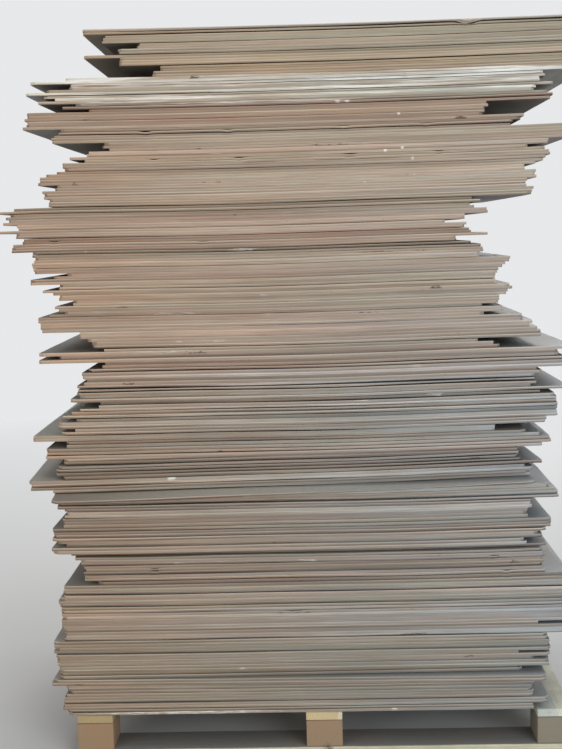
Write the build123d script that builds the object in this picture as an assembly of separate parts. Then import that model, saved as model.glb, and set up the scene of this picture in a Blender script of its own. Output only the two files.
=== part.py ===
# Tall hand-made pile of thin fibreboard sheets, lying loose on a light nine-block pallet
from build123d import *
import os
import random

os.makedirs("parts", exist_ok=True)

# Pallet: bottom boards run along X, the runners above the blocks run along Y
pallet_length = 1200
pallet_width = 800
board_thick = 20
board_width = 100
block_length = 88
block_height = 66
runner_width = 88
runner_thick = 20
edge_bevel = 3

# Sheets: two stock thicknesses, all of one width, cut to many lengths
thick_sheet = 7.5
thin_sheet = 6.0
sheet_width = 800
air_gap = 0.3
knock_max = 14

# Each bundle, from the top of the pile down, is a thickness, how unevenly its fronts lie, and its
# batches, also from the top down. A batch is: sheets, how far their left and right ends lie inside
# the pallet's own ends (negative: beyond them), push towards the front (-Y), turn in degrees
# about the front edge's middle (left end forward), raggedness of the ends
BUNDLES = [
    (thin_sheet, 0.8, [  # top of the pile
        (2, 86, -16, 4, 0.1, 2),
        (3, 133, -30, 0, 0.0, 5),
        (2, 208, -46, -3, 0.1, 4),
        (2, 166, -20, 3, -0.1, 3),
    ]),
    (thin_sheet, 0.8, [
        (1, 86, -12, -2, 0.1, 0),
        (3, 168, -24, 3, 0.0, 8),
        (2, 258, -40, -4, -0.1, 4),
        (2, 246, -48, 0, 0.1, 9),
    ]),
    (thin_sheet, 1.2, [  # white-faced sheets, piled with the least care
        (1, 44, 10, 2, 0.1, 0),
        (1, -39, 24, 4, 0.0, 0),
        (2, 52, 70, 0, 0.2, 4),
        (1, -3, 80, 3, -0.1, 0),
        (1, -51, 78, 2, 0.0, 0),
        (1, -10, 50, -1, 0.1, 0),
        (1, 15, 88, 2, 0.0, 0),
        (1, -22, 92, 3, -0.1, 0),
        (1, 62, 62, -1, 0.0, 0),
    ]),
    (thin_sheet, 0.8, [
        (1, 34, 50, 1, 0.1, 0),
        (1, 93, 54, -2, 0.0, 0),
        (5, -55, 203, 2, 0.1, 8),
    ]),
    (thin_sheet, 1.0, [
        (1, -60, 117, 3, 0.0, 0),
        (1, 26, 122, -1, 0.1, 0),
        (1, 20, 140, 3, 0.0, 0),
        (1, 10, 146, -3, 0.1, 0),
        (2, 5, 14, 1, -0.1, 3),
        (2, 122, 8, 3, 0.0, 3),
        (1, 136, 12, 1, 0.1, 0),
        (2, 84, 63, 2, 0.0, 6),
        (1, 45, 108, 4, -0.1, 0),
    ]),
    (thin_sheet, 0.6, [  # the evenest part of the upper pile
        (1, 77, 68, 0, 0.1, 0),
        (3, 27, 62, 2, 0.0, 4),
        (1, 12, 72, -2, 0.1, 0),
        (1, -13, 90, 0, 0.0, 0),
        (2, -28, 116, 1, -0.1, 2),
        (1, -32, 90, 2, 0.0, 0),
        (2, 8, 92, 0, 0.1, 4),
        (3, -21, 112, 2, 0.0, 3),
        (3, -8, 94, 1, 0.1, 6),
    ]),
    (thin_sheet, 1.0, [
        (1, -91, 232, -4, 0.1, 0),
        (1, -128, 216, 3, 0.0, 0),
        (2, -112, 236, -2, 0.1, 10),
        (2, -112, 204, 1, 0.0, 8),
    ]),
    (thin_sheet, 1.0, [
        (2, -85, 248, 0, 0.1, 5),
        (1, -130, 298, 2, 0.0, 0),
        (2, -88, 252, 2, -0.1, 4),
        (2, -76, 240, -4, 0.2, 4),
        (1, -97, 199, 0, 0.0, 0),
        (2, -101, 273, 2, 0.1, 3),
    ]),
    (thin_sheet, 1.0, [
        (1, -54, 236, -5, 0.2, 0),
        (5, -50, 214, 2, 0.0, 9),
        (2, -53, 148, -1, 0.1, 3),
        (1, 26, 160, 1, 0.0, 0),
        (1, -7, 165, 0, 0.1, 0),
        (2, -60, 174, 3, -0.1, 6),
    ]),
    (thin_sheet, 1.2, [
        (2, -3, 190, 0, 0.1, 12),
        (1, -32, 184, 4, 0.0, 0),
        (1, -10, 182, -2, 0.1, 0),
        (2, 4, 147, 1, 0.0, 5),
        (2, 30, 158, -3, 0.1, 6),
        (3, 6, 178, 2, -0.1, 14),
        (1, -22, 212, -4, 0.1, 0),
        (2, -45, 165, 3, 0.0, 3),
    ]),
    (thick_sheet, 1.2, [
        (1, -43, 208, 0, 0.1, 0),
        (2, -42, 120, 1, 0.0, 3),
        (2, 52, 101, 0, 0.1, 5),
    ]),
    (thick_sheet, 1.5, [
        (3, 73, 82, 2, 0.2, 9),
        (1, 105, 222, -6, 0.6, 0),
        (1, -49, 186, -2, 0.8, 0),
        (1, -3, 172, -4, 0.6, 0),
        (1, -47, 4, 9, 0.9, 0),
        (2, 104, 34, -2, 0.6, 6),
        (1, 67, 22, 6, 0.7, 0),
    ]),
    (thick_sheet, 1.5, [
        (2, 51, 16, 9, 0.5, 3),
        (2, 60, 83, 3, 0.3, 7),
        (2, 38, 91, 5, 0.3, 2),
        (1, 36, 90, 4, 0.2, 0),
        (1, 42, 100, -1, 0.3, 0),
        (1, 21, 14, 5, 0.4, 0),
        (1, 90, 78, -3, 0.2, 0),
        (1, 86, 46, 2, 0.3, 0),
        (1, 42, 41, 4, 0.2, 0),
    ]),
    (thick_sheet, 1.5, [
        (1, 20, 41, -2, 0.2, 0),
        (1, 0, 39, 3, 0.1, 0),
        (1, 31, 39, -3, 0.2, 0),
        (2, -8, 41, 7, 0.1, 2),
        (1, 28, 66, 4, 0.2, 0),
        (1, -4, 68, 5, 0.1, 0),
        (2, -72, 184, -5, 0.2, 3),
        (1, 5, 113, 2, 0.3, 0),
    ]),
    (thick_sheet, 1.5, [
        (1, 5, 80, -4, 0.4, 0),
        (2, -39, 58, 4, 0.5, 4),
        (1, -42, 75, 8, 0.6, 0),
        (2, 0, 130, -5, 2.2, 5),
        (3, -17, 120, -2, 2.8, 7),
    ]),
    (thick_sheet, 1.5, [  # these lie askew, and one of them stands out well in front
        (1, 0, 70, 2, 3.2, 0),
        (3, -80, 99, 6, 3.4, 12),
        (1, -24, 94, 0, 3.8, 0),
        (1, -14, 92, 74, 4.4, 0),
        (2, -32, 54, -3, 0.6, 6),
        (2, -24, 40, -5, 0.2, 5),
    ]),
    (thick_sheet, 1.4, [
        (1, -24, 37, 4, 0.1, 0),
        (3, -6, 101, -3, 0.0, 4),
        (3, -13, 109, -6, 0.2, 3),
    ]),
    (thick_sheet, 1.4, [
        (3, -38, 52, 1, 0.1, 3),
        (1, -39, 66, 5, 0.2, 0),
        (2, -17, 86, -2, -0.2, 12),
        (2, -37, 116, 4, 0.1, 5),
    ]),
    (thick_sheet, 1.4, [
        (1, 2, 64, -6, 0.1, 0),
        (3, 20, 72, 4, -0.3, 9),
        (5, 34, 70, -4, 0.1, 3),
        (1, 65, 20, -6, 0.2, 0),
        (1, -15, 8, 4, 0.1, 0),
    ]),
    (thick_sheet, 1.4, [
        (3, -19, 0, 4, -0.1, 3),
        (4, -29, 6, -1, 0.0, 4),
    ]),
    (thick_sheet, 1.2, [  # the evenest part of the lower pile
        (6, -26, 2, 0, 0.0, 2),
        (1, -24, 85, 0, 0.0, 0),
        (3, -22, 4, 0, 0.0, 2),
    ]),
    (thick_sheet, 1.2, [
        (4, -48, 60, -2, 0.1, 4),
        (1, -43, 56, 3, 0.0, 0),
        (1, -43, 130, -1, 0.1, 0),
        (1, -42, 56, 1, 0.0, 0),
        (1, -41, 90, -3, 0.1, 0),
        (2, -40, 60, 1, 0.0, 3),
        (1, -39, 124, -1, 0.3, 0),
    ]),
    (thick_sheet, 1.2, [  # on the runners
        (1, -39, 122, -3, 0.6, 0),
        (2, -55, 69, 14, -0.9, 3),
        (4, -20, 97, 0, -0.2, 3),
        (2, -28, 95, -2, 0.0, 3),
        (2, -34, 60, 1, 0.1, 2),
        (2, -22, 97, -1, 0.0, 3),
    ]),
]

rng = random.Random(5)
block_y = (pallet_width - board_width) / 2
rows = {"front": -block_y, "centre": 0, "back": block_y}


def save(shape, node):
    export_step(shape, f"parts/{node}.step")


def columns(width):
    """The three columns' places along X for pieces of one width, the outer two flush with the ends."""
    return {"left": -(pallet_length - width) / 2, "middle": 0, "right": (pallet_length - width) / 2}


def timber(length, width, thick):
    """A sawn piece with its underside at zero and its long edges a little bevelled."""
    piece = Box(length, width, thick, align=(Align.CENTER, Align.CENTER, Align.MIN))
    grain = Axis.X if length > width else Axis.Y
    return chamfer(piece.edges().filter_by(grain), edge_bevel)


def sheet(length, thick):
    """One flat sheet, its four corners knocked off by unequal small amounts."""
    outline = []
    for side_x, side_y in ((-1, -1), (1, -1), (1, 1), (-1, 1)):
        corner_x, corner_y = side_x * length / 2, side_y * sheet_width / 2
        along_x = (corner_x - side_x * rng.uniform(1, knock_max), corner_y)
        along_y = (corner_x, corner_y - side_y * rng.uniform(1, knock_max))
        outline += [along_y, along_x] if side_x == side_y else [along_x, along_y]
    return extrude(make_face(Polyline(*outline, close=True)), thick)


def bundle(thick, uneven, batches, height):
    """The sheets of one bundle, laid from height upwards, and the height that they reach."""
    laid = []
    for count, left, right, push, turn, ragged in reversed(batches):
        for _ in range(count):
            left_end = -pallet_length / 2 + left + ragged * rng.uniform(-1, 1)
            right_end = pallet_length / 2 - right + ragged * rng.uniform(-1, 1)
            front = -sheet_width / 2 - push + uneven * rng.uniform(-1, 1)
            place = Pos((left_end + right_end) / 2, front, height) * Rot(0, 0, turn)
            laid.append(place * Pos(0, sheet_width / 2, 0) * sheet(right_end - left_end, thick))
            height += thick + air_gap
    return laid, height


# Pallet, from the floor up
for row, y in rows.items():
    save(Pos(0, y, 0) * timber(pallet_length, board_width, board_thick), f"bottom_board_{row}")
    for column, x in columns(block_length).items():
        block = Box(block_length, board_width, block_height, align=(Align.CENTER, Align.CENTER, Align.MIN))
        save(Pos(x, y, board_thick) * block, f"block_{row}_{column}")

runner_height = board_thick + block_height
for column, x in columns(runner_width).items():
    save(Pos(x, 0, runner_height) * timber(runner_width, pallet_width, runner_thick), f"runner_{column}")

# Sheets, numbered in bundles from the bottom of the pile
top = runner_height + runner_thick + air_gap
for number, (thick, uneven, batches) in enumerate(reversed(BUNDLES), 1):
    laid, top = bundle(thick, uneven, batches, top)
    save(Compound(children=laid), f"sheets_{number:02d}")

print("sheets:", sum(batch[0] for each in BUNDLES for batch in each[2]), "top of the pile:", round(top - air_gap, 1))
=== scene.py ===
import math

import bpy
import numpy as np
from mathutils import Matrix, Vector


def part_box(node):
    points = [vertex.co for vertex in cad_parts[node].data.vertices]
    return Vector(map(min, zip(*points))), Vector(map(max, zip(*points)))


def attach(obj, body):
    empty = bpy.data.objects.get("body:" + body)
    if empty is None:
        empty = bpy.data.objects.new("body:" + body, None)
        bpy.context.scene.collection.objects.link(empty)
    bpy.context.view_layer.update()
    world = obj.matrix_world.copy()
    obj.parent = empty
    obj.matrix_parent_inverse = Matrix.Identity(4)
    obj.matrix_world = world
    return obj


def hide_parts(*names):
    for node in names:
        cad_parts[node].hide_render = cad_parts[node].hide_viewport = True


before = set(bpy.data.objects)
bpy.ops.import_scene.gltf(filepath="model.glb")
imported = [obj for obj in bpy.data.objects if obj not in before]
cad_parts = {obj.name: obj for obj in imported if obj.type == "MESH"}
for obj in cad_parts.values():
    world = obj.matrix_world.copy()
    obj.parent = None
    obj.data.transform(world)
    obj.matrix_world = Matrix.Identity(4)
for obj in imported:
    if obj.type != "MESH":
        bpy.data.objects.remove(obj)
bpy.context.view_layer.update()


# The camera stood a little left of the pile's middle, with its lens at about chest height,
# tipped down and leaning slightly. The picture is taller than wide.
FOCAL_PIXELS = 1200.0
PICTURE_HEIGHT = 749.0
SENSOR = 36.0
FARTHEST_SEEN = 100.0
lens_place = Vector((-0.005, -3.18, 1.258))
lens_down, lens_left, lens_lean = math.radians(6.75), math.radians(1.6), math.radians(-1.5)

look = Vector((-math.sin(lens_left) * math.cos(lens_down), math.cos(lens_left) * math.cos(lens_down),
               -math.sin(lens_down)))
level = Vector((math.cos(lens_left), math.sin(lens_left), 0.0))
above = level.cross(look)
side = level * math.cos(lens_lean) + above * math.sin(lens_lean)
over = above * math.cos(lens_lean) - level * math.sin(lens_lean)

camera_data = bpy.data.cameras.new("camera")
camera_data.sensor_width = SENSOR
camera_data.lens = SENSOR * FOCAL_PIXELS / PICTURE_HEIGHT
camera_data.clip_end = FARTHEST_SEEN
camera = bpy.data.objects.new("camera", camera_data)
turned = Matrix((side, over, -look)).transposed().to_4x4()
camera.matrix_world = Matrix.Translation(lens_place) @ turned
bpy.context.collection.objects.link(camera)
bpy.context.scene.camera = camera
bpy.context.scene.view_settings.view_transform = "Standard"


# The pallet: three bottom boards, nine blocks and three runners, all sawn from softwood and
# nailed together. The front ends of the blocks and runners show their growth rings, the
# right-hand ones greyer and the middle runner fresh and pale.
ROUNDED = 0.002
END_INSET = 0.7 * ROUNDED
STATION_STEP = 0.02
TIMBER_SHARP = math.radians(25)
TIMBER_SEED = 100
FULL_TURN = 6.28

# How far the saw wandered off a corner, and how fast along the piece, in radians per metre
SAW_WANDER = 0.0006
SAW_PACE = 17.0

# Tones as seen: board, the painted shade on the upper side of a board and how far down it
# reaches, then the three columns of blocks and of runners. Each timber's own depth of tone lies
# between two shares.
BOARD_TONE = (206, 203, 180)
BOARD_TOP_PAINTED_SHADE = (122, 124, 124)
BOARD_TOP_DEPTH = 0.6 * ROUNDED
BLOCK_TONES = {"left": (158, 128, 98), "middle": (160, 134, 108), "right": (134, 129, 114)}
RUNNER_TONES = {"left": (183, 161, 119), "middle": (218, 198, 153), "right": (210, 220, 214)}
TONE_SHARES = (0.94, 1.06)

# Where the heart of the log lay from the middle of a piece's end: to the right, and up, in
# metres. Then how far along the log a piece may have come from, and where its sapwood began.
RUNNER_HEARTS = {"left": (0.03, -0.12), "middle": (-0.166, 0.03), "right": (-0.19, -0.05)}
BLOCK_HEARTS = {"left": (0.13, 0.05), "middle": (-0.13, -0.05), "right": (0.12, 0.07)}
BOARD_HEART = (0.02, -0.09)
LOG_REACH = 3.0
SAPWOOD_RADII = (0.20, 0.203)

# The knot in the front bottom board, and the radii between which it fades
KNOT_PLACE = (0.008, -0.4, 0.015)
KNOT_RADII = (0.006, 0.016)


def linear(red, green, blue):
    """The linear colour of a shade given as seen, from 0 to 255 (the sRGB curve)."""
    seen = np.array((red, green, blue)) / 255.0
    return np.where(seen <= 0.04045, seen / 12.92, ((seen + 0.055) / 1.055) ** 2.4)


def timber_shell(low, high, along, chance):
    """A sawn piece as a rounded rectangle carried along its grain, closed by two flat ends.

    The section is four quarter circles about points set in from its corners by their radius.
    Slow sine waves along the piece take up to the saw's wander off each corner's radius, and
    the two end sections lose most of it, which rounds the ends."""
    first, second = (along + 1) % 3, (along + 2) % 3
    length = high[along] - low[along]
    inner = np.linspace(ROUNDED, length - ROUNDED, max(3, round(length / STATION_STEP)))
    run = np.concatenate([[0.0], inner, [length]])
    inset = np.zeros(len(run))
    inset[[0, -1]] = END_INSET
    corner = np.repeat(np.arange(4), 4)
    turn = np.radians(corner * 90.0 + np.tile((0.0, 30.0, 60.0, 90.0), 4))
    sign = np.stack([np.where((corner == 0) | (corner == 3), 1, -1), np.where(corner < 2, 1, -1)])
    core = (high - low)[[first, second]] / 2 - ROUNDED
    phase = chance.uniform(0.0, FULL_TURN, 4)[corner]
    wander = SAW_WANDER * (0.5 + 0.5 * np.sin(run[:, None] * SAW_PACE + phase))
    radius = ROUNDED - inset[:, None] - wander * (inset[:, None] == 0.0)
    ring = len(turn)
    points = np.empty((len(run), ring, 3))
    points[:, :, along] = (low[along] + run)[:, None]
    for axis, share, swing in ((first, 0, np.cos(turn)), (second, 1, np.sin(turn))):
        points[:, :, axis] = (low + high)[axis] / 2 + sign[share] * core[share] + radius * swing
    here = np.arange(len(run) - 1)[:, None] * ring + np.arange(ring)
    beside = np.arange(len(run) - 1)[:, None] * ring + np.roll(np.arange(ring), -1)
    quads = np.stack([here, beside, beside + ring, here + ring], axis=2).reshape(-1, 4).tolist()
    last = (len(run) - 1) * ring
    return points.reshape(-1, 3), quads + [list(range(ring))[::-1], list(range(last, last + ring))]


class Nodes:
    """The node tree of a material or of the world, with short ways to add and feed nodes."""

    def __init__(self, owner):
        owner.use_nodes = True
        self.tree = owner.node_tree
        self.shader = self.tree.nodes.get("Principled BSDF")

    def add(self, kind, **settings):
        """A new node with its settings."""
        node = self.tree.nodes.new(kind)
        for key, value in settings.items():
            setattr(node, key, value)
        return node

    def feed(self, source, target):
        """An input joined to an output, or given a plain value."""
        if isinstance(source, bpy.types.NodeSocket):
            self.tree.links.new(source, target)
        else:
            target.default_value = source

    def read(self, layer, output="Color"):
        """What a layer of the mesh says."""
        return self.add("ShaderNodeAttribute", attribute_name=layer).outputs[output]

    def parts(self, vector):
        """The X, Y and Z of a vector, by name."""
        node = self.add("ShaderNodeSeparateXYZ")
        self.feed(vector, node.inputs[0])
        return node.outputs

    def noise(self, place, stretch, detail=3.0, rough=0.6):
        """A noise pattern as fine along each direction as its stretch says."""
        mapping = self.add("ShaderNodeMapping")
        self.feed(place, mapping.inputs["Vector"])
        self.feed(stretch, mapping.inputs["Scale"])
        node = self.add("ShaderNodeTexNoise")
        self.feed(mapping.outputs["Vector"], node.inputs["Vector"])
        self.feed(1.0, node.inputs["Scale"])
        self.feed(detail, node.inputs["Detail"])
        self.feed(rough, node.inputs["Roughness"])
        return node.outputs["Fac"]

    def spread(self, value, low, high, out_low=0.0, out_high=1.0):
        """A value between low and high brought to between out_low and out_high, and held there."""
        node = self.add("ShaderNodeMapRange", clamp=True)
        self.feed(value, node.inputs["Value"])
        self.feed(low, node.inputs["From Min"])
        self.feed(high, node.inputs["From Max"])
        self.feed(out_low, node.inputs["To Min"])
        self.feed(out_high, node.inputs["To Max"])
        return node.outputs["Result"]

    def sums(self, kind, first, second):
        """Two values added, multiplied or the like."""
        node = self.add("ShaderNodeMath", operation=kind)
        self.feed(first, node.inputs[0])
        self.feed(second, node.inputs[1])
        return node.outputs[0]

    def measured(self, kind, first, second=(0.0, 0.0, 0.0)):
        """The length of a vector, or its distance to a point."""
        node = self.add("ShaderNodeVectorMath", operation=kind)
        self.feed(first, node.inputs[0])
        self.feed(second, node.inputs[1])
        return node.outputs["Value"]

    def blend(self, factor, base, other, kind="MIX"):
        """Two colours mixed by a factor."""
        node = self.add("ShaderNodeMix", data_type="RGBA", blend_type=kind)
        self.feed(factor, node.inputs[0])
        for colour, target in ((base, node.inputs[6]), (other, node.inputs[7])):
            fixed = not isinstance(colour, bpy.types.NodeSocket)
            self.feed((*colour, 1.0) if fixed else colour, target)
        return node.outputs[2]

    def stain(self, colour, pattern, low, high, strength, tone):
        """A colour turned towards a tone, by up to a strength, as a pattern rises from low to high."""
        return self.blend(self.spread(pattern, low, high, 0.0, strength), colour, linear(*tone))

    def bump(self, height, strength, distance):
        """A bump from a height pattern on the shader's normal."""
        node = self.add("ShaderNodeBump")
        self.feed(height, node.inputs["Height"])
        self.feed(strength, node.inputs["Strength"])
        self.feed(distance, node.inputs["Distance"])
        self.feed(node.outputs["Normal"], self.shader.inputs["Normal"])

    def surface(self, output, factor, first, second):
        """Two shaders mixed by a factor, as what an output node shows."""
        node = self.add("ShaderNodeMixShader")
        for number, source in enumerate((factor, first, second)):
            self.feed(source, node.inputs[number])
        self.feed(node.outputs[0], self.tree.nodes[output].inputs["Surface"])


def softwood_material():
    """Rough-sawn softwood: rings about the log's heart, long fibres, pale sapwood past a certain
    radius, grey weathering in clouds, and a dark knot where the front board meets its block."""
    material = bpy.data.materials.new("sawn_softwood")
    nodes = Nodes(material)
    log = nodes.read("in_log", "Vector")
    place = nodes.add("ShaderNodeTexCoord").outputs["Object"]
    rings = nodes.add("ShaderNodeTexWave", wave_type="RINGS", rings_direction="Z", wave_profile="SAW")
    nodes.feed(log, rings.inputs["Vector"])
    for socket, value in (("Scale", 62.0), ("Distortion", 3.0), ("Detail", 2.0), ("Detail Scale", 0.6)):
        nodes.feed(value, rings.inputs[socket])
    split, in_section = nodes.parts(log), nodes.add("ShaderNodeCombineXYZ")
    for axis in ("X", "Y"):
        nodes.feed(split[axis], in_section.inputs[axis])
    from_heart = nodes.measured("LENGTH", in_section.outputs[0])
    fibre = nodes.noise(log, (420.0, 420.0, 9.0), 3.0, 0.7)
    cloud = nodes.noise(place, (14.0, 14.0, 14.0))
    speck = nodes.noise(place, (90.0, 90.0, 90.0), 2.0)
    colour = nodes.read("tone")
    colour = nodes.stain(colour, from_heart, *SAPWOOD_RADII, 0.6, (242, 234, 212))
    colour = nodes.stain(colour, rings.outputs["Fac"], 0.35, 1.0, 0.28, (128, 98, 68))
    colour = nodes.stain(colour, fibre, 0.35, 0.7, 0.25, (120, 98, 76))
    colour = nodes.stain(colour, cloud, 0.4, 0.7, 0.3, (138, 128, 114))
    colour = nodes.stain(colour, speck, 0.66, 0.76, 0.35, (92, 74, 58))
    near = nodes.spread(nodes.measured("DISTANCE", place, KNOT_PLACE), *KNOT_RADII, 0.85, 0.0)
    knot = nodes.sums("MULTIPLY", near, nodes.spread(speck, 0.35, 0.55))
    colour = nodes.blend(knot, colour, linear(96, 72, 62))
    nodes.feed(colour, nodes.shader.inputs["Base Color"])
    nodes.feed(0.85, nodes.shader.inputs["Roughness"])
    nodes.bump(fibre, 0.4, 0.0008)
    return material


softwood = softwood_material()
timbers = {f"bottom_board_{row}": (0, BOARD_TONE, BOARD_HEART) for row in ("front", "centre", "back")}
for column in ("left", "middle", "right"):
    timbers[f"runner_{column}"] = (1, RUNNER_TONES[column], RUNNER_HEARTS[column])
    for row in ("front", "centre", "back"):
        timbers[f"block_{row}_{column}"] = (1, BLOCK_TONES[column], BLOCK_HEARTS[column])

for number, (name, (along, tone, heart)) in enumerate(timbers.items()):
    chance = np.random.default_rng(TIMBER_SEED + number)
    low, high = (np.array(corner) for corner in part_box(name))
    points, faces = timber_shell(low, high, along, chance)
    mesh = bpy.data.meshes.new(name + "_timber")
    mesh.from_pydata(points.tolist(), [], faces)
    right, up = (1, 2) if along == 0 else (0, 2)
    in_log = points[:, [right, up, along]] - ((low + high) / 2)[[right, up, along]]
    in_log -= (*heart, chance.uniform(-LOG_REACH, LOG_REACH))
    mesh.attributes.new("in_log", "FLOAT_VECTOR", "POINT").data.foreach_set("vector", in_log.ravel())
    share = chance.uniform(*TONE_SHARES)
    seen = np.tile([*linear(*tone) * share, 1.0], (len(points), 1))
    # The upper side of a bottom board is painted darker grey, as painted shade under the pile
    if along == 0:
        seen[points[:, 2] > high[2] - BOARD_TOP_DEPTH, :3] = linear(*BOARD_TOP_PAINTED_SHADE) * share
    mesh.attributes.new("tone", "FLOAT_COLOR", "POINT").data.foreach_set("color", seen.ravel())
    mesh.set_sharp_from_angle(angle=TIMBER_SHARP)
    mesh.materials.append(softwood)
    timber = bpy.data.objects.new(name + "_timber", mesh)
    bpy.context.collection.objects.link(timber)
    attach(timber, "root")
    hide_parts(name)


# The fibreboard sheets: fine wood fibre and resin pressed hard and thin, sawn to length and
# piled by hand. Their sawn edges vary in shade from sheet to sheet. Slight warps leave dark
# gaps between some of them, and blows and straps have left dents, dark nicks and pale scuffs.
MILLIMETRES = 0.001
FRONT_STEP = 0.02
OTHER_STEP = 0.08
ARRIS = 0.0002
THINNEST = 4.0 * ARRIS
SHEET_SHARP = math.radians(35)

# Corners this close in height are on one sheet's face. The front is the longest side that faces
# forwards by this much, and is cut finely only between these shares of its length.
SAME_FACE = 2e-5
FACING_FRONT = -0.9
FRONT_INNER = (0.002, 0.998)

# How far the saw wandered off the edge, in two waves that each have a share and a pace
CUT_WANDER = 0.0006
CUT_WAVES = ((0.6, 5.0), (0.4, 23.0))

# A sheet's foot is drawn down this far, which closes the joint, and joints stay this uneven. Open
# gaps close over a depth, waver in slow waves, and are widened, the more so below a level.
CLOSED = 0.00025
CLOSED_UNEVEN = 1e-4
GAP_DEPTH = 0.13
GAP_WAVES = (6.0, 16.0)
GAP_WAVER = 0.18
GAPS_WIDENED = 1.08
LOWER_GAPS_WIDENED = 1.5
GAPS_LEVEL = 1.0

# The sag reaches this far out from the middle and is full at this share of the height. The tilt
# is measured at a reach of its own, and has a wave that shifts along X from sheet to sheet.
SAG = 0.0045
SAG_REACH = 0.62
SAG_FULL = 1.0 / 2.2
TILT = 0.003
TILT_REACH = 0.6
TILT_WAVE = 0.25
TILT_PACES = (9.0, 5.0)

# How far down a bent sheet and a broken flap are felt, how far a flap laps over the sheet below,
# after how many reaches nothing is felt, and how close in height is the same level
DENT_REACH = 0.012
FLAP_REACH = 0.004
FLAP_LAP = 0.001
REACHES_FELT = 5.0
SAME_LEVEL = 1e-4

# The cuts about each mark on a front, and about each bend this far above it, and how far out
# they go in half lengths of the mark. Then how fast a mark fades at its ends.
MARK_CUTS = 13
MARK_SHARE = 1.6
BENDS_ABOVE = (-0.001, 0.04)
MARK_FALL = 0.6

# Where the four rings of a sheet's wall lie across its edge map, and how far apart the maps of
# two sheets and of two caps lie
RINGS_ACROSS = (0.0, 0.06, 0.94, 1.0)
EDGE_MAP_STEP = 2.0
CAP_MAP_STEP = 3.0

# The places of a sheet's materials: its sawn edge, its upper face, and its lower face, which is
# dark with painted shade
EDGE_SLOT, FACE_SLOT, BACK_SLOT = 0, 1, 2

# Shades of a sawn edge as seen
SHADES = {
    "tan": (169, 149, 131), "rosy": (166, 143, 126), "straw": (169, 150, 128),
    "brown": (154, 132, 115), "mauve": (150, 137, 126), "dull": (150, 140, 126),
    "grey": (152, 146, 134), "amber": (169, 146, 120), "olive": (148, 141, 125),
    "russet": (153, 122, 104), "pale": (176, 165, 150), "white": (224, 222, 216),
    "silver": (182, 174, 161), "bright": (198, 189, 175), "umber": (134, 115, 100),
}

# What a sheet's colour is multiplied by: where it drifts warmer or cooler, and at its foot,
# where it is painted shade
WARM_DRIFT = (1.14, 0.99, 0.91)
COOL_DRIFT = (0.96, 1.05, 1.05)
PAINTED_FOOT_SHADE = (0.22, 0.14, 0.11)

# How dark the painted shade at a foot can be by itself, in the lower and in the upper bundles,
# how much darker per metre of its open gap, and how pale the painted highlight on an upper
# arris can be
LOWER_PAINTED_FOOT = 1.0
UPPER_PAINTED_FOOT = 0.55
FOOT_PER_GAP = 300.0
PALEST_PAINTED_HIGHLIGHT = 0.8

# What each bundle is made up of, in parts of the whole
MIXES = {
    "lowest": {"olive": 4, "dull": 2, "mauve": 1},
    "lower": {"dull": 3, "mauve": 3, "tan": 2, "olive": 2},
    "middle": {"grey": 3, "dull": 3, "mauve": 2, "tan": 2},
    "lighter": {"silver": 4, "dull": 3, "mauve": 2, "tan": 1},
    "lightest": {"bright": 4, "silver": 3, "tan": 1},
    "plain": {"silver": 3, "dull": 3, "olive": 2},
    "shadowy": {"mauve": 3, "brown": 2, "umber": 2, "dull": 1},
    "even": {"tan": 5, "straw": 3, "rosy": 2},
    "upper": {"rosy": 4, "tan": 2, "straw": 2, "brown": 2},
    "reddish": {"russet": 3, "rosy": 1},
    "topmost": {"straw": 3, "olive": 3, "brown": 1},
    "yellow": {"amber": 1},
    "dusty": {"pale": 3, "grey": 1},
}

# How widely the sheets of a bundle differ in depth of shade, as a part of it, and in hue
VARIED = {
    "lowest": 0.15, "lower": 0.17, "middle": 0.25, "lighter": 0.25, "lightest": 0.22, "plain": 0.10,
    "shadowy": 0.23, "even": 0.09, "upper": 0.13, "reddish": 0.10, "topmost": 0.08, "yellow": 0.05,
    "dusty": 0.06,
}
HUE_VARIED = 0.018

# The tint of the left and the right end as seen, for the upper and for the lower bundles: the
# left ends are warmer and the right ones greyer, as painted warm and cool light, the more so
# lower down. It changes from end to end over a span, and behind the front it fades between two
# depths to a part of itself.
UPPER_TINTS = ((1.02, 0.98, 0.945), (0.97, 1.035, 1.08))
LOWER_TINTS = ((1.03, 0.955, 0.915), (0.91, 1.065, 1.26))
TINT_LEVELS = (0.9, 1.6)
TINT_SPAN = 1.2
TINT_DEPTHS = (-0.38, 0.3)
TINT_KEPT = 0.35
SEEN_POWER = 2.2

# Faces are painted in shade below these levels, from one tone to a cooler one over this span
# along X, and painted in light in front of these depths, but not to the left of these places
FACE_TONE_LEVELS = (1.25, 1.45)
FACE_SPAN = (-0.5, 0.5)
PAINTED_LIGHT_GAIN = (2.15, 2.05, 1.9)
PAINTED_LIGHT_DEPTHS = (-0.42, -0.403)
PAINTED_LIGHT_PLACES = (-0.6, -0.2)

# Each bundle's make-up, and the sheets with a shade of their own, counted from its top
BUNDLES = {
    "sheets_01": "lowest", "sheets_02": "lowest", "sheets_03": "plain", "sheets_04": "lower",
    "sheets_05": "shadowy", "sheets_06": "middle", "sheets_07": "lighter", "sheets_08": "lighter",
    "sheets_09": "middle", "sheets_10": "lightest", "sheets_11": "lighter", "sheets_12": "upper",
    "sheets_13": "even", "sheets_14": "upper", "sheets_15": "upper", "sheets_16": "reddish",
    "sheets_17": "upper", "sheets_18": "even", "sheets_19": "upper", "sheets_20": "reddish",
    "sheets_21": "dusty", "sheets_22": "yellow", "sheets_23": "topmost",
}
OWN_SHADES = {"sheets_21": {2: "white", 3: "white", 6: "white", 8: "white"}, "sheets_23": {1: "silver"}}

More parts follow.
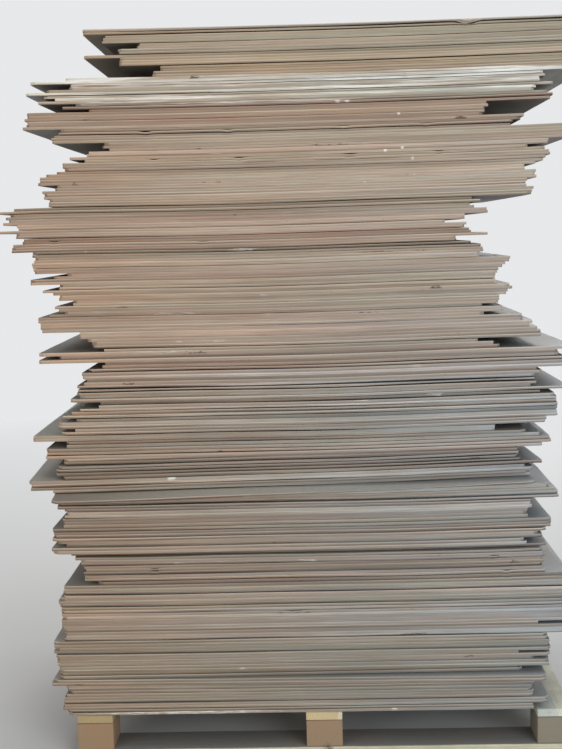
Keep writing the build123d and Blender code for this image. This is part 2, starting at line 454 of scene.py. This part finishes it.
# Open gaps that show: for the sheet above each, counted from the top of its bundle, how far the
# gap opens at the left and at the right end, in millimetres
OPEN_GAPS = {
    "sheets_23": {1: (0.8, 3.8), 2: (2, 1), 5: (1, 0.5), 9: (1, 0.5)},
    "sheets_22": {4: (1, 2), 5: (0.5, 0.5)},
    "sheets_21": {3: (0.5, 1.5), 6: (1.5, 0.5), 10: (1, 0.5)},
    "sheets_20": {1: (0.5, 2), 5: (1, 0.5)},
    "sheets_19": {2: (1.5, 0), 3: (1.5, 1.5), 9: (0.5, 0.5)},
    "sheets_18": {1: (0.5, 0.5), 4: (1, 0.5), 17: (1.5, 1)},
    "sheets_17": {2: (1, 1)},
    "sheets_16": {2: (0.5, 1), 5: (1.4, 1), 10: (0, 1.5)},
    "sheets_15": {1: (1, 1.5), 2: (0, 1), 6: (1, 0.5)},
    "sheets_14": {2: (1, 1), 12: (0.5, 0.5)},
    "sheets_12": {3: (1.5, 1), 9: (0, 1.5), 10: (1.5, 0.5)},
    "sheets_11": {5: (2, 2), 6: (1.5, 2), 9: (0, 1.5), 10: (0.5, 1.5), 12: (2, 1)},
    "sheets_10": {2: (1.5, 1), 5: (0, 1), 7: (2.5, 1.5), 10: (2, 0.5)},
    "sheets_09": {2: (0.5, 1), 3: (1.5, 0.5), 6: (2, 0.5), 7: (0.5, 1.5), 8: (1.5, 1), 9: (0.5, 1.5)},
    "sheets_08": {1: (1, 1), 3: (1.5, 0.5), 5: (2, 1), 6: (0, 5), 10: (1.2, 0.6)},
    "sheets_07": {1: (1, 2), 4: (1, 0)},
    "sheets_06": {1: (1, 0.5), 3: (0, 1.5), 4: (1.5, 0)},
    "sheets_05": {1: (2, 1.5), 2: (0, 1), 4: (1.5, 2), 7: (1, 0.5), 9: (2, 1)},
    "sheets_04": {2: (1.5, 1.5), 6: (1, 0.5)},
    "sheets_03": {1: (1, 0.5), 10: (1.5, 1.5)},
    "sheets_02": {4: (1.5, 0.5), 11: (0.5, 1.5)},
    "sheets_01": {1: (0.5, 1), 9: (1.5, 1), 11: (1.5, 1), 12: (1.5, 0)},
}

# Sheets bent down at the front: place along X, height of the bent sheet's top, half width and
# dip, in millimetres. A flap is a broken strip that hangs down over the sheet below it.
DENTS = (
    (-378, 1500, 12, 2.6), (-190, 1500, 11, 2.4), (75, 1500, 13, 2.0), (262, 1500, 13, 2.0),
    (-360, 1437, 12, 2.2), (-165, 1437, 14, 3.0), (88, 1437, 16, 2.5), (290, 1440, 10, 2.0),
    (-600, 1255, 12, 2.5), (-255, 1248, 12, 1.5), (410, 488, 9, 2.5), (440, 450, 9, 2.5),
    (-395, 470, 11, 2.0), (-65, 363, 25, 2.0),
)
FLAPS = ((356, 1721, 18, 8.0),)

# Dark nicks, and pale scuffs and painted highlights: place along X, height, half length, in
# millimetres, and strength. The nicks are drawn this much longer, because their ragged ends fade.
NICKS_STRETCHED = 1.5
NICKS = (
    (-263, 1618, 9, 0.85), (340, 1509, 9, 0.82), (-510, 1531, 7, 0.6), (-260, 1457, 6, 0.5),
    (40, 1462, 40, 0.5), (-544, 1384, 5, 0.7), (-250, 1383, 4, 0.5), (-215, 1382, 5, 0.6),
    (-180, 1310, 4, 0.5), (228, 1286, 3, 0.7), (145, 1214, 26, 0.5), (245, 1214, 14, 0.4),
    (-508, 1179, 9, 0.8), (280, 1125, 9, 0.8), (380, 1116, 8, 0.6), (-448, 1100, 9, 0.6),
    (125, 1073, 18, 0.5), (-280, 993, 20, 0.5), (-440, 918, 9, 0.7), (408, 906, 11, 0.6),
    (-230, 755, 5, 0.6), (372, 718, 10, 0.7), (-110, 534, 4, 0.5), (412, 484, 7, 0.8),
    (457, 469, 10, 0.6), (-395, 466, 9, 0.7), (-65, 361, 30, 0.5), (222, 296, 24, 0.7),
    (350, 246, 9, 0.6), (-590, 188, 8, 0.6),
)
# The first five pale marks, just below dents, are painted highlights on the bulge of the bent edge; the
# rest are scuffs
SCUFFS_AND_HIGHLIGHTS = (
    (-378, 1497, 8, 0.5), (-190, 1497, 8, 0.5), (75, 1497, 8, 0.45), (262, 1497, 9, 0.45),
    (-165, 1434, 9, 0.4), (168, 1443, 4, 0.85), (207, 1444, 4, 0.85), (230, 1421, 4, 0.75),
    (233, 1383, 4, 0.5), (120, 1370, 4, 0.6), (62, 1556, 6, 0.75), (84, 1556, 6, 0.75),
    (200, 1525, 4, 0.8), (135, 1461, 28, 0.4), (-350, 1574, 160, 0.5), (180, 1606, 120, 0.7),
    (300, 1577, 110, 0.4), (-340, 1458, 45, 0.4), (-215, 1433, 50, 0.4), (-165, 1229, 32, 0.7),
    (-528, 1228, 4, 0.6), (-115, 1119, 12, 0.45), (-330, 1084, 65, 0.6), (-95, 1073, 26, 0.4),
    (-318, 1016, 8, 0.6), (-230, 1016, 28, 0.5), (-360, 994, 90, 0.5), (230, 941, 14, 0.6),
    (275, 878, 22, 0.6), (100, 866, 24, 0.5), (-345, 698, 10, 1.0), (-340, 484, 16, 0.5),
    (-235, 484, 12, 0.5), (-30, 483, 26, 0.6), (-195, 221, 9, 0.6), (170, 109, 8, 0.8),
    (-340, 109, 250, 0.7),
)


def read_points(node):
    """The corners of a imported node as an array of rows."""
    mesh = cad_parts[node].data
    flat = np.empty(len(mesh.vertices) * 3)
    mesh.vertices.foreach_get("co", flat)
    return flat.reshape(-1, 3)


def sheet_outlines(node):
    """Each sheet of a bundle, from the bottom up, as (bottom, top, corners counter-clockwise).

    A sheet's corners lie at only two heights, so the sorted heights taken in pairs are the
    sheets, and the corners at one height are put in order by their angle about the middle."""
    points = read_points(node)
    heights = np.unique(points[:, 2].round(5))
    outlines = []
    for bottom, top in zip(heights[0::2], heights[1::2]):
        flat = np.unique(points[np.abs(points[:, 2] - top) < SAME_FACE][:, :2].round(5), axis=0)
        arms = flat - flat.mean(axis=0)
        outlines.append((bottom, top, flat[np.argsort(np.arctan2(arms[:, 1], arms[:, 0]))]))
    return outlines


def walk_outline(corners, marked):
    """Points round a straight-sided outline, each with its outward direction, run and depth.

    The walk starts at the left of the front, at the least sum of X and four times Y. Every side
    is cut into equal steps, short on the front, which is also cut at each marked place along X
    that isn't close to its ends. A side's outward direction is its own direction turned a right
    angle clockwise, and a corner takes the mean of its two sides'. Depth is measured back from
    the line of the front side."""
    start = np.argmin(corners[:, 0] + 4.0 * corners[:, 1])
    corners = np.roll(corners, -start, axis=0)
    sides = np.roll(corners, -1, axis=0) - corners
    lengths = np.linalg.norm(sides, axis=1)
    outward = np.stack([sides[:, 1], -sides[:, 0]], axis=1) / lengths[:, None]
    front = int(np.argmax(lengths * (outward[:, 1] < FACING_FRONT)))
    parts = []
    for number, length in enumerate(lengths):
        cuts = max(1, round(length / (FRONT_STEP if number == front else OTHER_STEP)))
        part = np.arange(cuts) / cuts
        if number == front:
            fine = (marked - corners[front, 0]) / sides[front, 0]
            inner = fine[(fine > FRONT_INNER[0]) & (fine < FRONT_INNER[1])]
            part = np.unique(np.concatenate([part, inner]).round(5))
        parts.append(part)
    side_of = np.repeat(np.arange(len(lengths)), [len(part) for part in parts])
    part = np.concatenate(parts)
    points = corners[side_of] + sides[side_of] * part[:, None]
    facing = outward[side_of]
    at_corner = part == 0.0
    facing[at_corner] = facing[at_corner] + outward[side_of[at_corner] - 1]
    facing /= np.linalg.norm(facing, axis=1)[:, None]
    run = (np.cumsum(lengths) - lengths)[side_of] + lengths[side_of] * part
    depth = (corners[front] - points) @ outward[front]
    return points, facing, run, lengths.sum(), side_of == front, depth


def gape(x, ends, chance):
    """Half an open gap's height along X: from its left end's to its right end's, in a slow wave."""
    share = (x - x.min()) / (x.max() - x.min())
    wave = np.sin(x * chance.uniform(*GAP_WAVES) + chance.uniform(0.0, FULL_TURN))
    return (ends[0] + (ends[1] - ends[0]) * share) * (0.5 + GAP_WAVER * wave)


def settled(x, height):
    """How far the sheets at a height have sagged or risen along X.

    The pile sags in its middle by a parabola, which grows in upwards over the lower half, and
    tilts up to the right by a straight line with a wave in it, which comes and goes in half a
    sine wave over the height."""
    level = np.clip((height - heads.min()) / (heads.max() - heads.min()), 0.0, 1.0)
    sag = -SAG * np.minimum(1.0, level / SAG_FULL) * np.maximum(0.0, 1.0 - (x / SAG_REACH) ** 2)
    line = x / TILT_REACH + TILT_WAVE * np.sin(x * TILT_PACES[0] + height * TILT_PACES[1])
    return sag + TILT * np.sin(math.pi * level) * line


def pressed(x, height, bends):
    """How far bent sheets press the front down at a height: a bell along X about each bend,
    fading downwards from the bent sheet by a factor of e over its reach, and nothing above."""
    down = np.zeros(len(x))
    for place, level, width, dip, reach, lap in bends:
        below = level + lap - height
        if -SAME_LEVEL < below < REACHES_FELT * reach:
            down += dip * np.exp(-((x - place) / width) ** 2 - max(0.0, below - lap) / reach)
    return down


def wear_at(x, bottom, top, marks):
    """How strongly marks show along a sheet: a flat-topped bell along X about each mark whose
    height lies on the sheet, with the fourth power in place of a bell curve's square."""
    wear_and_painted_light = np.zeros(len(x))
    for place, _, width, strength in marks[(marks[:, 1] > bottom) & (marks[:, 1] <= top)]:
        wear_and_painted_light = np.maximum(wear_and_painted_light, strength * np.exp(-MARK_FALL * ((x - place) / width) ** 4))
    return wear_and_painted_light


def painted_light_at(points):
    """What the painted warm and cool light multiplies each point's linear shade by.

    The tint as seen goes in straight lines from the lower bundles' to the upper ones' with the
    height, from the left end's to the right end's along X, and to a part of itself towards the
    back. A power turns what is seen into the linear shade."""
    x, y, z = points[:, :1], points[:, 1:2], points[:, 2:]
    upwards = np.clip((z - TINT_LEVELS[0]) / (TINT_LEVELS[1] - TINT_LEVELS[0]), 0.0, 1.0)
    rightwards = np.clip(x / TINT_SPAN + 0.5, 0.0, 1.0)
    backwards = np.clip((y - TINT_DEPTHS[0]) / (TINT_DEPTHS[1] - TINT_DEPTHS[0]), 0.0, 1.0)
    left, right = (np.array(low) + (np.array(high) - low) * upwards
                   for low, high in zip(LOWER_TINTS, UPPER_TINTS))
    kept = 1.0 + (TINT_KEPT - 1.0) * backwards
    return (1.0 + (left + (right - left) * rightwards - 1.0) * kept) ** SEEN_POWER


def sheet_shell(outline, foot_gap, head_gap, bends, marks, chance):
    """One sheet as a closed shell of four rings and two flat caps.

    The rings are the outline at the lower arris, the foot and the head of the wall, and the
    upper arris. The saw's slow wander, two sine waves along the edge, pulls the wall in. The
    foot first comes down to close the drawn air gap. Then the foot is raised and the head
    lowered by their open gaps, which close in a straight line over their depth, and both
    follow the pile's sag and the bends. The front is cut finely at marks and bends near it."""
    bottom, top, corners = outline
    near = [mark for mark in marks if bottom < mark[1] <= top]
    near += [bend for bend in bends if BENDS_ABOVE[0] < bend[1] - top < BENDS_ABOVE[1]]
    spans = [mark[0] + mark[2] * np.linspace(-MARK_SHARE, MARK_SHARE, MARK_CUTS) for mark in near]
    points, facing, run, total, front, depth = walk_outline(corners, np.concatenate([*spans, []]))
    x = points[:, 0]
    phase = chance.uniform(0.0, FULL_TURN, 2)
    waves = [share * np.sin(run * pace + start) for (share, pace), start in zip(CUT_WAVES, phase)]
    pull = CUT_WANDER * (1.0 + sum(waves))
    opened = np.clip(1.0 - depth / GAP_DEPTH, 0.0, 1.0)
    foot = bottom - CLOSED + gape(x, foot_gap, chance) * opened - pressed(x, bottom, bends) * front
    head = top - gape(x, head_gap, chance) * opened - pressed(x, top, bends) * front
    foot, head = foot + settled(x, bottom), head + settled(x, top)
    head = np.maximum(head, foot + THINNEST)
    rings = [np.column_stack([points - facing * (pull + inset)[:, None], height])
             for inset, height in ((ARRIS, foot), (0.0, foot + ARRIS),
                                   (0.0, head - ARRIS), (ARRIS, head))]
    count = len(points)
    here = np.arange(count)
    after = np.roll(here, -1)
    band = np.stack([here, after, after + count, here + count], axis=1)
    bands = np.concatenate([band + number * count for number in range(3)])
    caps = [here[::-1].tolist(), (here + 3 * count).tolist()]
    return np.concatenate(rings), bands, caps, run, total, front


def bundle_mesh(name, outlines, shades, gaps, painted_foot_shade, bends, nicks, scuffs_and_highlights, chance):
    """All sheets of a bundle as one mesh, with the shade, which carries the painted warm and cool
    light, the wear and painted light, and the edge map of each.

    The edge map runs along the sheet's edge in metres and across its thickness from 0 to 1,
    moved up by a step for each sheet so that no two share a stretch of grain. On the caps it is
    the plain place in metres. Wear and painted light hold the dark nicks, the pale scuffs and
    painted highlights, the painted highlight on the upper arris and the painted shade at the foot."""
    verts, faces, maps, tints, wear_and_painted_light_rows, slots = [], [], [], [], [], []
    first = 0
    for number, outline in enumerate(outlines):
        bottom, top, _ = outline
        points, bands, caps, run, total, front = sheet_shell(
            outline, *gaps[number], bends, np.concatenate([nicks, scuffs_and_highlights]), chance)
        count = len(run)
        across = np.repeat(RINGS_ACROSS, count) + EDGE_MAP_STEP * number
        along = np.tile(run, 4)[bands]
        along[count - 1::count, 1:3] = total
        maps.append(np.stack([along, across[bands]], axis=2).reshape(-1, 2))
        maps += [points[cap][:, :2] + CAP_MAP_STEP * number for cap in caps]
        # Each sheet's shade is multiplied by the painted warm and cool light
        tints.append(np.column_stack([shades[number] * painted_light_at(points), np.ones(len(points))]))
        x, shown = points[:, 0], np.tile(front, 4)
        # Each sheet's painted shade at the foot, darker at open gaps, and painted highlight on the
        # upper arris
        by_gap = FOOT_PER_GAP * float(np.mean(gaps[number][0]))
        foot = min(1.0, painted_foot_shade * chance.uniform(0.0, 1.0) ** 2 + by_gap)
        painted_highlight = chance.uniform(0.0, PALEST_PAINTED_HIGHLIGHT)
        wear_and_painted_light_rows.append(np.stack([wear_at(x, bottom, top, nicks) * shown,
                               wear_at(x, bottom, top, scuffs_and_highlights) * shown,
                               np.full(len(x), painted_highlight), np.full(len(x), foot)], axis=1))
        faces += (bands + first).tolist() + [[corner + first for corner in cap] for cap in caps]
        slots += [EDGE_SLOT] * len(bands) + [BACK_SLOT, FACE_SLOT]
        verts.append(points)
        first += len(points)
    mesh = bpy.data.meshes.new(name)
    mesh.from_pydata(np.concatenate(verts).tolist(), [], faces)
    mesh.uv_layers.new(name="edge_map").data.foreach_set("uv", np.concatenate(maps).ravel())
    for layer, values in (("shade", tints), ("wear_and_painted_light", wear_and_painted_light_rows)):
        data = mesh.attributes.new(layer, "FLOAT_COLOR", "POINT").data
        data.foreach_set("color", np.concatenate(values).ravel())
    mesh.polygons.foreach_set("material_index", slots)
    mesh.set_sharp_from_angle(angle=SHEET_SHARP)
    return mesh


def edge_material(name, dust):
    """Sawn fibreboard edge: the sheet's own shade, greyer in wide patches that run over several
    sheets, darker and paler in long bands, drifting warmer and cooler along it, and streaked. It
    is darker at the foot from painted shade and paler along the upper arris from a painted
    highlight. Noise gives the nicks, the scuffs and the painted highlights their ragged outlines,
    and dust its thin flakes. Across the edge, a sheet runs from 0 to 0.5."""
    material = bpy.data.materials.new(name)
    nodes = Nodes(material)
    place = nodes.add("ShaderNodeUVMap", uv_map="edge_map").outputs["UV"]
    here = nodes.add("ShaderNodeTexCoord").outputs["Object"]
    halved = nodes.sums("MULTIPLY", nodes.parts(place)["Y"], 1.0 / EDGE_MAP_STEP)
    across = nodes.sums("FRACT", halved, 0.0)
    wear_and_painted_light = nodes.add("ShaderNodeAttribute", attribute_name="wear_and_painted_light")
    channels = nodes.add("ShaderNodeSeparateColor")
    nodes.feed(wear_and_painted_light.outputs["Color"], channels.inputs[0])
    dark, pale, painted_highlight = channels.outputs

    # Patterns that run over several sheets, then those along each sheet's own edge
    patch = nodes.noise(here, (2.6, 2.6, 13.0), 3.0, 0.55)
    band = nodes.noise(here, (1.3, 1.3, 42.0))
    flake = nodes.noise(here, (4.0, 4.0, 110.0), 4.0, 0.65)
    drift = nodes.noise(place, (1.5, 0.8, 1.0), 2.0, 0.5)
    slow = nodes.noise(place, (2.2, 1.7, 1.0))
    streak = nodes.noise(place, (9.0, 2.9, 1.0), 4.0, 0.65)
    fibre = nodes.noise(place, (240.0, 9.0, 1.0), 3.0, 0.7)
    speck = nodes.noise(place, (60.0, 1.6, 1.0), 2.0, 0.55)
    ragged = nodes.noise(place, (75.0, 2.4, 1.0), 4.0, 0.7)
    frayed = nodes.noise(place, (35.0, 6.0, 1.0), 4.0, 0.7)

    # Patches, bands, the drift in hue, and streaks
    colour = nodes.stain(nodes.read("shade"), patch, 0.38, 0.62, 0.35, (146, 141, 128))
    colour = nodes.blend(1.0, colour, nodes.spread(band, 0.3, 0.7, 0.66, 1.34), "MULTIPLY")
    hue = nodes.blend(nodes.spread(drift, 0.36, 0.64), WARM_DRIFT, COOL_DRIFT)
    colour = nodes.blend(1.0, colour, hue, "MULTIPLY")
    colour = nodes.stain(colour, slow, 0.35, 0.65, 0.35, (180, 166, 148))
    colour = nodes.blend(nodes.spread(streak, 0.38, 0.62, 0.4, 0.0), colour, linear(126, 104, 88))
    colour = nodes.stain(colour, fibre, 0.3, 0.7, 0.16, (112, 94, 80))

    # Painted shade at the foot and a painted highlight along the upper arris
    foot = nodes.sums("MULTIPLY", nodes.spread(across, 0.08, 0.42, 1.0, 0.0), wear_and_painted_light.outputs["Alpha"])
    foot = nodes.sums("MULTIPLY", foot, nodes.spread(slow, 0.38, 0.6, 0.3, 1.0))
    colour = nodes.blend(foot, colour, PAINTED_FOOT_SHADE, "MULTIPLY")
    painted_highlight = nodes.sums("MULTIPLY", nodes.spread(across, 0.28, 0.44), painted_highlight)
    painted_highlight = nodes.sums("MULTIPLY", painted_highlight, nodes.spread(slow, 0.35, 0.6, 0.15, 1.0))
    colour = nodes.blend(painted_highlight, colour, linear(208, 195, 178))

    # Dark specks and pale flakes
    colour = nodes.stain(colour, speck, 0.72, 0.78, 0.5, (84, 66, 54))
    flake = nodes.spread(flake, 0.7 - dust, 0.86 - dust, 0.0, 0.9)
    flake = nodes.sums("MULTIPLY", flake, nodes.spread(streak, 0.35, 0.6, 0.45, 1.0))
    colour = nodes.blend(flake, colour, linear(234, 232, 227))

    # Scuffs and painted highlights, stronger towards the upper arris, and nicks, stronger towards the
    # foot
    fray = nodes.sums("MULTIPLY", nodes.sums("SUBTRACT", frayed, 0.5), 2.4)
    pale = nodes.sums("ADD", nodes.sums("ADD", pale, fray), nodes.spread(across, 0.0, 0.5, -0.3, 0.05))
    colour = nodes.stain(colour, pale, 0.45, 0.85, 0.95, (232, 229, 222))
    torn = nodes.sums("MULTIPLY", nodes.sums("SUBTRACT", ragged, 0.5), 2.6)
    dark = nodes.sums("ADD", nodes.sums("ADD", dark, torn), nodes.spread(across, 0.0, 0.5, 0.1, -0.4))
    colour = nodes.stain(colour, dark, 0.45, 0.65, 0.85, (66, 51, 41))
    nodes.feed(colour, nodes.shader.inputs["Base Color"])
    nodes.feed(0.88, nodes.shader.inputs["Roughness"])
    nodes.bump(fibre, 0.35, 0.0006)
    return material


def face_material(name, left, right, upper_rear_tone, rubbed, worn):
    """Pressed fibreboard face, in soft clouds, finely speckled and lightly rubbed. Low in the
    pile and near its front it is painted in shade, from one tone at the left end to a cooler one
    at the right from painted cool light. What stands out furthest, as the askew sheet does, is
    painted in light, but not at its left end."""
    material = bpy.data.materials.new(name)
    nodes = Nodes(material)
    place = nodes.add("ShaderNodeUVMap", uv_map="edge_map").outputs["UV"]
    here = nodes.parts(nodes.add("ShaderNodeTexCoord").outputs["Object"])
    cloud = nodes.noise(place, (3.0, 3.0, 3.0), 4.0)
    fine = nodes.noise(place, (90.0, 90.0, 90.0), 3.0, 0.7)
    rub = nodes.noise(place, (5.0, 20.0, 5.0), 5.0, 0.7)
    # Painted shade, from the left tone to the right one, cooler from painted light on the right
    base = nodes.blend(nodes.spread(here["X"], *FACE_SPAN), linear(*left), linear(*right))
    # Painted light where a face stands out furthest at the front
    forward = nodes.spread(here["Y"], *PAINTED_LIGHT_DEPTHS, 1.0, 0.0)
    painted_light = nodes.sums("MULTIPLY", forward, nodes.spread(here["X"], *PAINTED_LIGHT_PLACES))
    base = nodes.blend(painted_light, base, PAINTED_LIGHT_GAIN, "MULTIPLY")
    # Higher up and further back the painted shade gives way to the upper rear tone
    backward = nodes.spread(here["Y"], *TINT_DEPTHS, 0.0, 0.8)
    upper_rear_share = nodes.sums("MAXIMUM", backward, nodes.spread(here["Z"], *FACE_TONE_LEVELS))
    base = nodes.blend(upper_rear_share, base, linear(*upper_rear_tone))
    colour = nodes.blend(0.85, nodes.read("shade"), base)
    colour = nodes.stain(colour, cloud, 0.35, 0.65, 0.4, rubbed)
    colour = nodes.stain(colour, fine, 0.35, 0.7, 0.25, worn)
    colour = nodes.stain(colour, rub, 0.62, 0.78, 0.3, rubbed)
    nodes.feed(colour, nodes.shader.inputs["Base Color"])
    nodes.feed(nodes.spread(cloud, 0.3, 0.7, 0.5, 0.65), nodes.shader.inputs["Roughness"])
    return material


outlines_of = {name: sheet_outlines(name) for name in BUNDLES}
heads = np.array([top for outlines in outlines_of.values() for _, top, _ in outlines])
bends = []
for listed, reach, lap in ((DENTS, DENT_REACH, 0.0), (FLAPS, FLAP_REACH, FLAP_LAP)):
    for place, height, width, dip in np.array(listed) * MILLIMETRES:
        bends.append((place, heads[np.argmin(np.abs(heads - height))], width, dip, reach, lap))
nick_marks = np.array(NICKS) * (MILLIMETRES, MILLIMETRES, NICKS_STRETCHED * MILLIMETRES, 1.0)
scuff_and_highlight_marks = np.array(SCUFFS_AND_HIGHLIGHTS) * (MILLIMETRES, MILLIMETRES, MILLIMETRES, 1.0)

edge = edge_material("fibreboard_edge", dust=0.0)
dusted_edge = edge_material("dusted_fibreboard_edge", dust=0.2)
# The upper face's left and right tones are painted shade, the right one cooler from painted light
face = face_material("fibreboard_face", left=(134, 133, 126), right=(136, 144, 152),
                     upper_rear_tone=(166, 152, 133), rubbed=(160, 152, 138), worn=(118, 108, 96))
# The lower face is painted dark all over, as painted shade
back = face_material("fibreboard_back_painted_shade", left=(84, 81, 76), right=(82, 85, 90),
                     upper_rear_tone=(90, 84, 76), rubbed=(100, 96, 90), worn=(66, 62, 57))

for name, mix in BUNDLES.items():
    chance = np.random.default_rng(int(name[-2:]))
    outlines = outlines_of[name]
    count = len(outlines)
    parts = np.array(list(MIXES[mix].values()), float)
    picked = chance.choice(list(MIXES[mix]), count, p=parts / parts.sum()).tolist()
    for from_top, kind in OWN_SHADES.get(name, {}).items():
        picked[count - from_top] = kind
    varied = chance.normal(0.0, VARIED[mix], (count, 1)) + chance.normal(0.0, HUE_VARIED, (count, 3))
    shades = np.array([linear(*SHADES[kind]) for kind in picked]) * (1.0 + varied)

    # An open gap is shared by the two sheets at it, but the lowest sheet of a bundle takes the
    # whole of the gap below it
    upper = outlines[0][0] > GAPS_LEVEL
    widened = GAPS_WIDENED * MILLIMETRES * (1.0 if upper else LOWER_GAPS_WIDENED)
    open_gaps = {count - from_top: np.array(ends) * widened
                 for from_top, ends in OPEN_GAPS.get(name, {}).items()}
    gaps = []
    for number in range(count):
        at_foot, at_head = chance.uniform(0.0, CLOSED_UNEVEN, (2, 2))
        whole = 2.0 if number == 0 else 1.0
        gaps.append((open_gaps.get(number, at_foot) * whole, open_gaps.get(number + 1, at_head)))
    mesh = bundle_mesh(name + "_boards", outlines, shades, gaps, UPPER_PAINTED_FOOT if upper else LOWER_PAINTED_FOOT,
                       bends, nick_marks, scuff_and_highlight_marks, chance)
    for material in (dusted_edge if mix == "dusty" else edge, face, back):
        mesh.materials.append(material)
    boards = bpy.data.objects.new(name + "_boards", mesh)
    bpy.context.collection.objects.link(boards)
    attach(boards, "root")
    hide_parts(name)


# The studio: a wide pale floor that fades into the pale background, and even soft light from
# the front, the sides and above, at which a colour comes out about as it is written.
REACH = 60.0
FLOOR_TONE = (0.62, 0.62, 0.615)
BACKDROP = (0.80, 0.81, 0.82)
BACKDROP_LIGHT = 0.42
FADE_FROM, FADE_TO = 1.3, 5.5
AIM = Vector((0.0, 0.0, 0.9))

floor_mesh = bpy.data.meshes.new("floor")
floor_mesh.from_pydata([(-REACH, -REACH, 0), (REACH, -REACH, 0), (REACH, REACH, 0), (-REACH, REACH, 0)],
                       [], [(0, 1, 2, 3)])
floor = bpy.data.objects.new("floor", floor_mesh)
bpy.context.collection.objects.link(floor)
floor_material = bpy.data.materials.new("pale_floor")
nodes = Nodes(floor_material)
nodes.feed((*FLOOR_TONE, 1.0), nodes.shader.inputs["Base Color"])
nodes.feed(0.9, nodes.shader.inputs["Roughness"])
far_off = nodes.measured("LENGTH", nodes.add("ShaderNodeTexCoord").outputs["Object"])
glow = nodes.add("ShaderNodeEmission")
nodes.feed((*BACKDROP, 1.0), glow.inputs["Color"])
nodes.surface("Material Output", nodes.spread(far_off, FADE_FROM, FADE_TO),
              nodes.shader.outputs[0], glow.outputs[0])
floor_mesh.materials.append(floor_material)

# Rays that light the object find a dimmer background than those that see or mirror it
world = bpy.data.worlds.new("studio")
bpy.context.scene.world = world
nodes = Nodes(world)
lighting, shown = nodes.tree.nodes["Background"], nodes.add("ShaderNodeBackground")
for background, strength in ((lighting, BACKDROP_LIGHT), (shown, 1.0)):
    nodes.feed((*BACKDROP, 1.0), background.inputs["Color"])
    nodes.feed(strength, background.inputs["Strength"])
ray = nodes.add("ShaderNodeLightPath").outputs
mirrored = nodes.sums("MAXIMUM", ray["Is Glossy Ray"], ray["Is Transmission Ray"])
nodes.surface("World Output", nodes.sums("MAXIMUM", ray["Is Camera Ray"], mirrored),
              lighting.outputs[0], shown.outputs[0])

# Each lamp's place, size, power and colour
LAMPS = {
    "key_from_right": ((2.4, -4.4, 1.6), 2.8, 123.0, (0.91, 0.975, 1.0)),
    "fill_from_left": ((-3.0, -4.0, 1.4), 3.0, 60.0, (1.0, 0.955, 0.895)),
    "from_behind": ((0.5, 4.6, 3.0), 3.6, 120.0, (1.0, 1.0, 1.0)),
    "from_above": ((0.0, -0.2, 4.8), 3.0, 70.0, (1.0, 1.0, 1.0)),
}
for name, (place, size, power, light) in LAMPS.items():
    lamp_data = bpy.data.lights.new(name, "AREA")
    lamp_data.size = size
    lamp_data.energy = power
    lamp_data.color = light
    lamp = bpy.data.objects.new(name, lamp_data)
    lamp.location = place
    lamp.rotation_euler = (AIM - Vector(place)).to_track_quat("-Z", "Y").to_euler()
    bpy.context.collection.objects.link(lamp)
